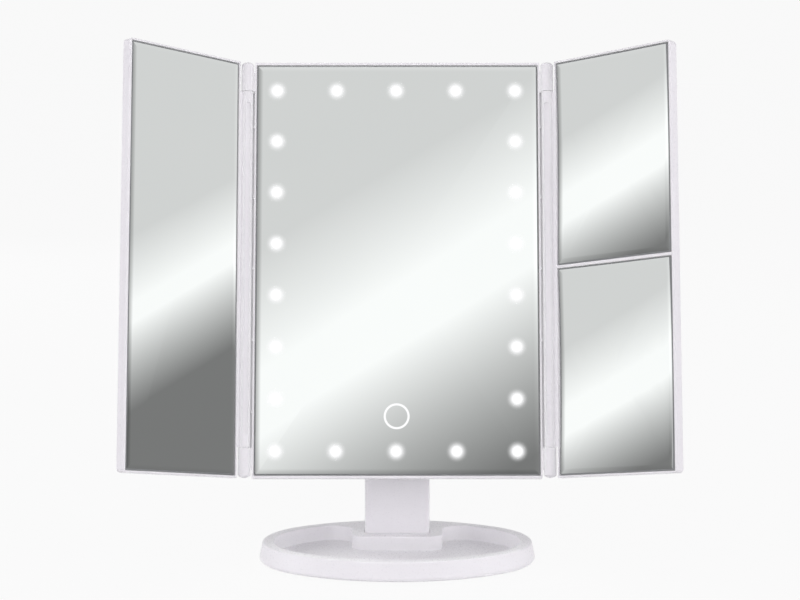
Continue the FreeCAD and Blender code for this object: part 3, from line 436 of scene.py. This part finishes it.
def makeGlass(name, nodeName, axes, body, slotName):
    shape = glassShape
    low, high = span(nodeName, axes)
    middle = (low + high) / 2
    halfWide, halfHigh = (high.x - low.x) / 2, (high.z - low.z) / 2
    radius = hollowRadius.get(nodeName)
    cornerReach = halfWide ** 2 + halfHigh ** 2
    drop = bevelDrop[nodeName]
    shadeTrim = outerShadeTrim.get(nodeName, 0.0)

    def depth(x, z):
        if radius is None:
            return 0.0
        return math.sqrt(radius ** 2 - x * x - z * z) - math.sqrt(radius ** 2 - cornerReach)

    mesh = bmesh.new()
    rings = []

    def addRing(inset, extra, scale=1.0):
        corner = max(shape["corner"] - inset, shape["leastCorner"])
        ring = []
        for x, z in ringPoints(halfWide - inset, halfHigh - inset, corner, shape):
            x, z = x * scale, z * scale
            # painted shade: the dark ground edge widens toward the outer side
            if inset:
                x -= shadeTrim * max(0.0, x / halfWide) ** shape["shadeTrimPower"]
            ring.append(mesh.verts.new((middle.x + x, low.y + depth(x, z) + extra, middle.z + z)))
        rings.append(ring)

    backRing = [mesh.verts.new((middle.x + x, high.y, middle.z + z))
                for x, z in ringPoints(halfWide, halfHigh, shape["corner"], shape)]
    rings.append(backRing)
    addRing(0.0, drop + shape["arrisDrop"])
    for step in range(shape["bevelSteps"] + 1):
        share = step / shape["bevelSteps"]
        addRing(shape["arris"] + shape["bevel"] * share, drop * (1 - share) ** 2)
    inner = shape["arris"] + shape["bevel"]
    faceSteps = shape["faceSteps"] if radius else 1
    for step in range(1, faceSteps + 1):
        addRing(inner, 0.0, 1 - shape["faceShare"] * step / faceSteps)
    count = len(backRing)
    for level, pair in enumerate(zip(rings, rings[1:])):
        for face in joinLoops(mesh, [pair]):
            face.smooth = True
            face.material_index = 1 if level < 2 else 0  # the edge is ground glass darkened as painted shade of the gap by the lip, the face is silvered
    mesh.faces.new(rings[-1]).smooth = True
    mesh.faces.new(list(reversed(backRing))).material_index = 2
    for ring in rings[:3]:
        for index in range(count):
            mesh.edges.get((ring[index], ring[(index + 1) % count])).smooth = False
    bmesh.ops.recalc_face_normals(mesh, faces=mesh.faces)
    piece = newPiece(name, mesh, axes, body, [finishes[slotName], groundEdgeShade, backPaint])
    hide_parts(nodeName)
    if radius:
        # true ball normals, so that the hollow face mirrors without creases
        ballMiddle = axes @ Vector((middle.x, low.y - math.sqrt(radius ** 2 - cornerReach), middle.z))
        firstOnFace = (2 + shape["bevelSteps"]) * count
        normals = []
        for loop in piece.data.loops:
            onFace = loop.vertex_index >= firstOnFace
            place = piece.data.vertices[loop.vertex_index].co
            normals.append((ballMiddle - place).normalized() if onFace else Vector((0, 0, 0)))
        piece.data.normals_split_custom_set(normals)
    return piece, low, high


centreGlass, centreLow, centreHigh = makeGlass(
    "centreGlass", "centre_mirror", headAxes, "mirror_head", "silvered_glass")
leftGlass, leftLow, leftHigh = makeGlass(
    "leftGlass", "left_wing_mirror", leftAxes, "left_wing", "silvered_glass")
upperGlass, upperLow, upperHigh = makeGlass(
    "upperGlass", "right_upper_mirror", rightAxes, "right_wing", "magnifying_mirror")
lowerGlass, lowerLow, lowerHigh = makeGlass(
    "lowerGlass", "right_lower_mirror", rightAxes, "right_wing", "magnifying_mirror")
print("glasses made")


# light windows and touch ring in the centre glass

glowLook = {"strength": 0.99, "frostScale": 900.0, "frostRange": (0.3, 0.7), "white": (1.0, 1.0, 1.0, 1),
            "cool": (0.98, 0.985, 1.0, 1), "under": (0.04, 0.04, 0.04, 1), "rough": 0.5, "gloss": 0.2}
windowShape = {"core": 0.0027, "halo": 0.0066, "lift": 0.00004, "sink": 0.0002, "around": 32, "steps": 8,
               "innerShare": 0.5, "shift": (-0.0006, -0.0007)}
ringShape = {"inner": 0.0063, "outer": 0.0072, "soft": 0.0003, "lift": 0.00005, "sink": 0.0002, "around": 64,
             "shift": (-0.0003, -0.0004)}


def makeGlow(name, look):
    material, tree, shader = newMaterial(name)
    fade = addNode(tree, "ShaderNodeAttribute", attribute_name="glow")
    frost = addNode(tree, "ShaderNodeTexNoise")
    frost.inputs["Scale"].default_value = look["frostScale"]
    shade = mapNode(tree, frost.outputs["Fac"], *look["frostRange"])
    link(tree, mixColor(tree, shade, look["white"], look["cool"]), shader.inputs["Emission Color"])
    shader.inputs["Emission Strength"].default_value = look["strength"]
    shader.inputs["Base Color"].default_value = look["under"]
    shader.inputs["Roughness"].default_value = look["rough"]
    shader.inputs["Specular IOR Level"].default_value = look["gloss"]
    link(tree, fade.outputs["Fac"], shader.inputs["Alpha"])
    return material


glowMaterial = makeGlow("litWindow", glowLook)


def glowPlace(box, shape):
    low, high = box
    return ((low.x + high.x) / 2 + shape["shift"][0], centreLow.y - shape["lift"],
            (low.z + high.z) / 2 + shape["shift"][1])


def addBand(mesh, layer, place, rows, around, hollow):
    # rings of quads about one spot, each with its own share of glow, closed by a dark rim sunk in the glass
    loops = []
    for radius, glow, sink in rows:
        loop = []
        for step in range(around):
            angle = 2 * math.pi * step / around
            vert = mesh.verts.new((place[0] + radius * math.cos(angle), place[1] + sink,
                                   place[2] + radius * math.sin(angle)))
            vert[layer] = glow
            loop.append(vert)
        loops.append(loop)
    pairs = list(zip(loops, loops[1:]))
    if hollow:
        pairs.append((loops[-1], loops[0]))
    else:
        mesh.faces.new(loops[0])
        mesh.faces.new(loops[-1])
    joinLoops(mesh, pairs)


def makeWindows():
    shape = windowShape
    board = looseSpans("leds", headAxes)
    mesh = bmesh.new()
    layer = mesh.verts.layers.float.new("glow")
    rows = [(shape["core"] * shape["innerShare"], 1.0, 0.0), (shape["core"], 1.0, 0.0)]
    for step in range(1, shape["steps"] + 1):
        share = step / shape["steps"]
        rows.append((shape["core"] + (shape["halo"] - shape["core"]) * share, (1 - share) ** 2, 0.0))
    rows.append((shape["halo"], 0.0, shape["sink"]))
    for box in board:
        addBand(mesh, layer, glowPlace(box, shape), rows, shape["around"], hollow=False)
    bmesh.ops.recalc_face_normals(mesh, faces=mesh.faces)
    return newPiece("lightWindows", mesh, headAxes, "mirror_head", [glowMaterial]), len(board)


def makeTouchRing():
    shape = ringShape
    mesh = bmesh.new()
    layer = mesh.verts.layers.float.new("glow")
    place = glowPlace(span("touch_electrode", headAxes), shape)
    inner, outer = shape["inner"] - shape["soft"], shape["outer"] + shape["soft"]
    rows = [(inner, 0.0, 0.0), (shape["inner"], 1.0, 0.0), (shape["outer"], 1.0, 0.0), (outer, 0.0, 0.0),
            (outer, 0.0, shape["sink"]), (inner, 0.0, shape["sink"])]
    addBand(mesh, layer, place, rows, shape["around"], hollow=True)
    bmesh.ops.recalc_face_normals(mesh, faces=mesh.faces)
    return newPiece("touchRing", mesh, headAxes, "mirror_head", [glowMaterial])


lightWindows, windowCount = makeWindows()
touchRing = makeTouchRing()
print("light windows:", windowCount)


# screws with a cross recess

screwShape = {"around": 48, "shank": 0.00125, "tipShare": 0.55, "tipLong": 0.0007, "chamfer": 0.0003,
              "slotHalf": 0.00034, "slotReach": 0.00138, "slotRise": 0.35, "sharp": math.radians(32),
              "rings": (0.00175, 0.0014, 0.00136, 0.001, 0.0007, 0.0004, 0.0001)}
headBackOut = headAxes  # local y runs out of the screw's head
standBackOut = Matrix.Identity(4)
standDownOut = Matrix(((1, 0, 0, 0), (0, 0, 1, 0), (0, -1, 0, 0), (0, 0, 0, 1)))
screwRows = {
    "case_screws": {"axes": headBackOut, "body": "mirror_head", "head": 0.0016, "recess": 0.0009},
    "neck_cover_screws": {"axes": standBackOut, "body": "stand", "head": 0.0009, "recess": 0.00055},
    "base_screws": {"axes": standDownOut, "body": "stand", "head": 0.0009, "recess": 0.00055},
    "neck_screws": {"axes": standDownOut, "body": "stand", "head": 0.0009, "recess": 0.00055},
}


def makeScrews(nodeName, row):
    shape = screwShape
    shank, chamfer, slotReach = shape["shank"], shape["chamfer"], shape["slotReach"]
    mesh = bmesh.new()
    solids = looseSpans(nodeName, row["axes"])
    for low, high in solids:
        spot = (low + high) / 2
        wide = (high.x - low.x) / 2
        top = high.y
        under = top - row["head"]
        profile = [(shank * shape["tipShare"], low.y), (shank, low.y + shape["tipLong"]), (shank, under),
                   (wide, under), (wide, top - chamfer), (wide - chamfer, top)]
        profile += [(radius, top) for radius in shape["rings"]]
        loops = []
        for radius, level in profile:
            loop = []
            for step in range(shape["around"]):
                angle = 2 * math.pi * (step + 0.5) / shape["around"]
                x, z = radius * math.cos(angle), radius * math.sin(angle)
                inSlot = min(abs(x), abs(z)) < shape["slotHalf"] and radius < slotReach and level == top
                sunk = row["recess"] * (1 - shape["slotRise"] * radius / slotReach) if inSlot else 0.0
                loop.append(mesh.verts.new((spot.x + x, level - sunk, spot.z + z)))
            loops.append(loop)
        joinLoops(mesh, zip(loops, loops[1:]))
        mesh.faces.new(loops[-1])
        mesh.faces.new(list(reversed(loops[0])))
    bmesh.ops.recalc_face_normals(mesh, faces=mesh.faces)
    for face in mesh.faces:
        face.smooth = True
    for edge in mesh.edges:
        edge.smooth = edge.calc_face_angle(0.0) < shape["sharp"]
    words = nodeName.split("_")
    name = words[0] + "".join(word.capitalize() for word in words[1:])
    piece = newPiece(name, mesh, row["axes"], row["body"], [finishes["screw_steel"]])
    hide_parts(nodeName)
    return piece, len(solids)


screws = {nodeName: makeScrews(nodeName, row) for nodeName, row in screwRows.items()}
print("screws:", sum(count for piece, count in screws.values()))


# camera

cameraLook = {"lens": 99.0, "sensor": 36.0, "far": 50.0, "place": (0.0016, -1.2375, 0.2802), "pitch": -6.0}
cameraData = bpy.data.cameras.new("camera")
cameraData.lens = cameraLook["lens"]
cameraData.sensor_width = cameraLook["sensor"]
cameraData.clip_end = cameraLook["far"]
camera = bpy.data.objects.new("camera", cameraData)
camera.location = cameraLook["place"]
camera.rotation_euler = (math.radians(90 + cameraLook["pitch"]), 0, 0)
scene.collection.objects.link(camera)
scene.camera = camera


# floor, world and lamps

floorLook = {"half": 40.0, "white": 0.964, "share": 0.97, "bounce": 0.88}
worldLook = {"fill": (0.955, 0.893, 1.0, 1), "level": 1.15, "overhead": 0.0, "behind": 0.45, "white": 0.945,
             "sheen": (0.985, 1, 0.99, 1), "slant": 0.5,
             "sweep": ((0.0, 0.956), (0.13, 0.58), (0.25, 0.94), (0.42, 0.36), (0.66, 0.82), (1.0, 0.7))}
softboxLook = {
    "front": {"place": (-0.3, -2.0, 1.25), "aim": (0, 0, 0.12), "half": 1.1, "core": 0.25, "glow": 3.4},
    "overhead": {"place": (-0.1, -0.75, 1.9), "aim": (0, 0, 0.12), "half": 1.1, "core": 0.25, "glow": 6.2},
}
lampLook = {
    "above": {"place": (-0.1, -0.5, 2.2), "aim": (0, 0, 0.1), "size": 1.6, "power": 9.8,
              "color": (1.0, 1.0, 0.99)},
    "front": {"place": (-0.3, -2.0, 1.25), "aim": (0, 0, 0.12), "size": 1.8, "power": 8.6,
              "color": (1.0, 1.0, 0.985)},
    "left": {"place": (-2.2, -0.6, 0.6), "aim": (0, 0, 0.12), "size": 1.4, "power": 8.0,
             "color": (1.0, 1.0, 0.99)},
    "right": {"place": (2.2, -0.6, 0.6), "aim": (0, 0, 0.12), "size": 1.4, "power": 13.1,
              "color": (1.0, 1.0, 0.99)},
    "rear": {"place": (-0.9, 1.9, 1.0), "aim": (0, 0, 0.15), "size": 1.2, "power": 10.8,
             "color": (1.0, 1.0, 1.0)},
}


def greyOf(tone):
    return tone, tone, tone, 1


def aimTurn(look):
    return (Vector(look["aim"]) - Vector(look["place"])).to_track_quat("-Z", "Y")


def stageMaterial(name):
    material = bpy.data.materials.new(name)
    material.use_nodes = True
    tree = material.node_tree
    tree.nodes.clear()
    return material, tree, addNode(tree, "ShaderNodeOutputMaterial")


def mixShaders(tree, share, first, second):
    pick = addNode(tree, "ShaderNodeMixShader")
    for socket, output in zip(pick.inputs, (share, first.outputs[0], second.outputs[0])):
        link(tree, output, socket)
    return pick


def hangSheet(sheet, material, tree, out, glow, cover):
    # a glowing sheet that only reflections show, clear where it has no cover
    clear = addNode(tree, "ShaderNodeBsdfTransparent")
    link(tree, mixShaders(tree, cover, clear, glow).outputs[0], out.inputs["Surface"])
    sheet.data.materials.append(material)
    sheet.visible_camera = False
    sheet.visible_diffuse = False
    sheet.visible_transmission = False
    sheet.visible_shadow = False


def makeFloor():
    look = floorLook
    mesh = bmesh.new()
    bmesh.ops.create_grid(mesh, x_segments=2, y_segments=2, size=look["half"])
    floor = newObject("floor", mesh)
    material, tree, out = stageMaterial("paleFloor")
    path = addNode(tree, "ShaderNodeLightPath")
    seen = mathNode(tree, "MAXIMUM", path.outputs["Is Camera Ray"], path.outputs["Is Glossy Ray"])
    seen = mathNode(tree, "MAXIMUM", seen, path.outputs["Is Transmission Ray"])
    plain = addNode(tree, "ShaderNodeBsdfDiffuse")
    plain.inputs["Color"].default_value = greyOf(look["bounce"])
    shaded = addNode(tree, "ShaderNodeBsdfDiffuse")
    shaded.inputs["Color"].default_value = greyOf(1 - look["share"])
    glow = addNode(tree, "ShaderNodeEmission")
    glow.inputs["Strength"].default_value = look["share"] * look["white"]
    both = addNode(tree, "ShaderNodeAddShader")
    link(tree, shaded.outputs[0], both.inputs[0])
    link(tree, glow.outputs[0], both.inputs[1])
    link(tree, mixShaders(tree, seen, plain, both).outputs[0], out.inputs["Surface"])
    floor.data.materials.append(material)


def makeWorld():
    # soft light that is weaker from overhead and from behind; mirrors see a banded sweep
    look = worldLook
    world = bpy.data.worlds.new("studio")
    scene.world = world
    world.use_nodes = True
    tree = world.node_tree
    tree.nodes.clear()
    out = addNode(tree, "ShaderNodeOutputWorld")
    path = addNode(tree, "ShaderNodeLightPath")
    coords = addNode(tree, "ShaderNodeTexCoord")
    parts = addNode(tree, "ShaderNodeSeparateXYZ")
    link(tree, coords.outputs["Generated"], parts.inputs[0])
    fill = addNode(tree, "ShaderNodeBackground")
    fill.inputs["Color"].default_value = look["fill"]
    level = mapNode(tree, parts.outputs["Z"], 0.0, 1.0, look["level"], look["overhead"])
    behind = mapNode(tree, parts.outputs["Y"], 0.0, 1.0, 1.0, look["behind"])
    link(tree, mathNode(tree, "MULTIPLY", level, behind), fill.inputs["Strength"])
    white = addNode(tree, "ShaderNodeBackground")
    white.inputs["Color"].default_value = greyOf(1)
    white.inputs["Strength"].default_value = look["white"]
    sheen = addNode(tree, "ShaderNodeBackground")
    sheen.inputs["Color"].default_value = look["sheen"]
    slant = mathNode(tree, "ADD", mathNode(tree, "MULTIPLY", parts.outputs["X"], look["slant"]), 1.0)
    sweep = addNode(tree, "ShaderNodeValToRGB")
    sweep.color_ramp.interpolation = "EASE"
    stops = sweep.color_ramp.elements
    for place, tone in look["sweep"][1:-1]:
        stops.new(place)
    for stop, (place, tone) in zip(stops, look["sweep"]):
        stop.position = place
        stop.color = greyOf(tone)
    link(tree, mathNode(tree, "MULTIPLY", parts.outputs["Z"], slant), sweep.inputs["Fac"])
    link(tree, sweep.outputs["Color"], sheen.inputs["Strength"])
    shiny = mathNode(tree, "MAXIMUM", path.outputs["Is Glossy Ray"], path.outputs["Is Transmission Ray"])
    lit = mixShaders(tree, shiny, fill, sheen)
    link(tree, mixShaders(tree, path.outputs["Is Camera Ray"], lit, white).outputs[0], out.inputs["Surface"])


def makeLamp(name, look):
    data = bpy.data.lights.new(name, "AREA")
    data.shape = "DISK"
    data.size = look["size"]
    data.energy = look["power"]
    data.color = look["color"]
    lamp = bpy.data.objects.new(name, data)
    lamp.location = look["place"]
    lamp.rotation_euler = aimTurn(look).to_euler()
    lamp.visible_glossy = False  # the mirrors show the cards alone
    scene.collection.objects.link(lamp)


def makeSoftbox(name, look):
    # a lamp's cloth, seen only as a highlight, fading out to its rim
    reach = look["half"]
    mesh = bmesh.new()
    corners = ((-1, -1), (1, -1), (1, 1), (-1, 1))
    mesh.faces.new([mesh.verts.new((x * reach, y * reach, 0)) for x, y in corners])
    box = newObject(name, mesh)
    box.matrix_world = Matrix.Translation(look["place"]) @ aimTurn(look).to_matrix().to_4x4()
    material, tree, out = stageMaterial(name + "Cloth")
    material.cycles.emission_sampling = "NONE"
    glow = addNode(tree, "ShaderNodeEmission")
    glow.inputs["Strength"].default_value = look["glow"]
    coords = addNode(tree, "ShaderNodeTexCoord")
    distance = addNode(tree, "ShaderNodeVectorMath", operation="LENGTH")
    link(tree, coords.outputs["Object"], distance.inputs[0])
    fade = mapNode(tree, distance.outputs["Value"], look["core"], reach, 1.0, 0.0, smooth=True)
    hangSheet(box, material, tree, out, glow, fade)


makeFloor()
makeWorld()
for boxName, look in softboxLook.items():
    makeSoftbox(boxName + "Softbox", look)
for lampName, look in lampLook.items():
    makeLamp(lampName + "Lamp", look)
print("floor, world and lamps set")


# toned cards that the mirrors look into

cardLook = {"grey": 0.836, "white": 1.005, "dark": 0.478, "gamma": 2.2, "redShare": 0.985, "blueShare": 0.993,
            "reach": 2.2, "steps": 44, "fade": (1.95, 2.18), "shadeEnd": 2.0,
            "left": 0.72, "right": 1.05, "top": 1.07, "bottom": 0.74}
cardPlaces = {
    "centreCard": {"axes": headAxes, "low": centreLow, "high": centreHigh, "away": 0.9, "lean": 0.42,
                   "rise": (0.52, -0.08), "fall": (-0.40, -1.33)},
    "leftCard": {"axes": leftAxes, "low": leftLow, "high": leftHigh, "away": 0.7, "lean": 0.18,
                 "rise": (0.26, -0.06), "fall": (-0.155, -0.565)},
    "upperCard": {"axes": rightAxes, "low": upperLow, "high": upperHigh, "away": 0.5, "lean": 0.25,
                  "rise": (0.48, -0.08), "fall": (-0.37, -1.13), "radius": hollowRadius["right_upper_mirror"]},
    "lowerCard": {"axes": rightAxes, "low": lowerLow, "high": lowerHigh, "away": 0.45, "lean": 0.28,
                  "rise": (0.48, -0.08), "fall": (-0.37, -1.13), "radius": hollowRadius["right_lower_mirror"]},
}


def makeSweep():
    # a lit sweep: grey, then a white band on a slant, then dark, shaded past each side and fading out
    look = cardLook
    group, start, end = newGroup("toneSweep", [
        ("Lean", "NodeSocketFloat", 0.4),
        ("Rise Start", "NodeSocketFloat", 0.5), ("Rise End", "NodeSocketFloat", -0.1),
        ("Fall Start", "NodeSocketFloat", -0.3), ("Fall End", "NodeSocketFloat", -1.3),
    ], [("Color", "NodeSocketColor"), ("Cover", "NodeSocketFloat")])
    spot = addNode(group, "ShaderNodeAttribute", attribute_name="spot")  # the glass's edges lie at -1 and 1
    parts = addNode(group, "ShaderNodeSeparateXYZ")
    link(group, spot.outputs["Vector"], parts.inputs[0])
    across, up = parts.outputs["X"], parts.outputs["Z"]
    heldAcross = mapNode(group, across, -1.0, 1.0, -1.0, 1.0)
    heldUp = mapNode(group, up, -1.0, 1.0, -1.0, 1.0)
    slant = mathNode(group, "SUBTRACT", heldUp, mathNode(group, "MULTIPLY", heldAcross, start.outputs["Lean"]))
    rise = mapNode(group, slant, start.outputs["Rise Start"], start.outputs["Rise End"],
                   look["grey"], look["white"])
    fall = mapNode(group, slant, start.outputs["Fall Start"], start.outputs["Fall End"],
                   0.0, look["white"] - look["dark"])
    tone = mathNode(group, "SUBTRACT", rise, fall)
    for value, side, share in ((across, -1, "left"), (across, 1, "right"), (up, -1, "bottom"), (up, 1, "top")):
        shade = mapNode(group, value, side * 1.0, side * look["shadeEnd"], 1.0, look[share])
        tone = mathNode(group, "MULTIPLY", tone, shade)
    bright = mathNode(group, "POWER", tone, look["gamma"])
    join = addNode(group, "ShaderNodeCombineColor")
    link(group, mathNode(group, "MULTIPLY", bright, look["redShare"]), join.inputs[0])
    link(group, bright, join.inputs[1])
    link(group, mathNode(group, "MULTIPLY", bright, look["blueShare"]), join.inputs[2])
    link(group, join.outputs[0], end.inputs["Color"])
    far = mathNode(group, "MAXIMUM", mathNode(group, "ABSOLUTE", across), mathNode(group, "ABSOLUTE", up))
    link(group, mapNode(group, far, *look["fade"], 1.0, 0.0, smooth=True), end.inputs["Cover"])
    return group


toneSweep = makeSweep()


def makeCard(name, spec):
    axes, low, high = spec["axes"], spec["low"], spec["high"]
    eye = axes.inverted() @ camera.location
    middle, half = (low + high) / 2, (high - low) / 2

    def seenAt(x, z):
        # where the camera's line off one point of the glass meets the card
        point = Vector((middle.x + x * half.x, low.y, middle.z + z * half.z))
        facing = Vector((0, -1, 0))
        if "radius" in spec:
            rim = math.sqrt(spec["radius"] ** 2 - half.x ** 2 - half.z ** 2)
            centre = Vector((middle.x, low.y - rim, middle.z))
            flat = Vector((point.x - centre.x, 0, point.z - centre.z))
            point.y = centre.y + math.sqrt(spec["radius"] ** 2 - flat.length_squared)
            facing = (centre - point).normalized()
        ray = (point - eye).reflect(facing)
        return point + ray * ((low.y - spec["away"] - point.y) / ray.y)

    scaleX = (seenAt(1, 0).x - seenAt(-1, 0).x) / 2
    scaleZ = (seenAt(0, 1).z - seenAt(0, -1).z) / 2
    print(name, "half size", round(scaleX, 4), round(scaleZ, 4))
    mesh = bmesh.new()
    layer = mesh.verts.layers.float_vector.new("spot")
    steps = cardLook["steps"]
    ticks = [cardLook["reach"] * (2 * step / steps - 1) for step in range(steps + 1)]
    grid = []
    for up in ticks:
        line = []
        for across in ticks:
            heldAcross, heldUp = max(-1, min(1, across)), max(-1, min(1, up))
            beyond = Vector(((across - heldAcross) * scaleX, 0, (up - heldUp) * scaleZ))
            vert = mesh.verts.new(seenAt(heldAcross, heldUp) + beyond)
            vert[layer] = (across, 0, up)
            line.append(vert)
        grid.append(line)
    for near, far in zip(grid, grid[1:]):
        for step in range(steps):
            mesh.faces.new((near[step], near[step + 1], far[step + 1], far[step]))
    card = newObject(name, mesh)
    card.matrix_world = axes
    material, tree, out = stageMaterial(name)
    glow = addNode(tree, "ShaderNodeEmission")
    sweep = useGroup(tree, toneSweep, {
        "Lean": spec["lean"], "Rise Start": spec["rise"][0], "Rise End": spec["rise"][1],
        "Fall Start": spec["fall"][0], "Fall End": spec["fall"][1],
    })
    link(tree, sweep.outputs["Color"], glow.inputs["Color"])
    hangSheet(card, material, tree, out, glow, sweep.outputs["Cover"])


for cardName, spec in cardPlaces.items():
    makeCard(cardName, spec)
standNodes = ("base_", "neck_")
panelNodes = [thing for name, thing in nodes.items() if not name.startswith(standNodes)]
panelPieces = [centreGlass, leftGlass, upperGlass, lowerGlass, lightWindows, touchRing, screws["case_screws"][0]]
for piece in panelNodes + panelPieces:
    piece.visible_glossy = False  # the panels don't show each other
print("cards set")
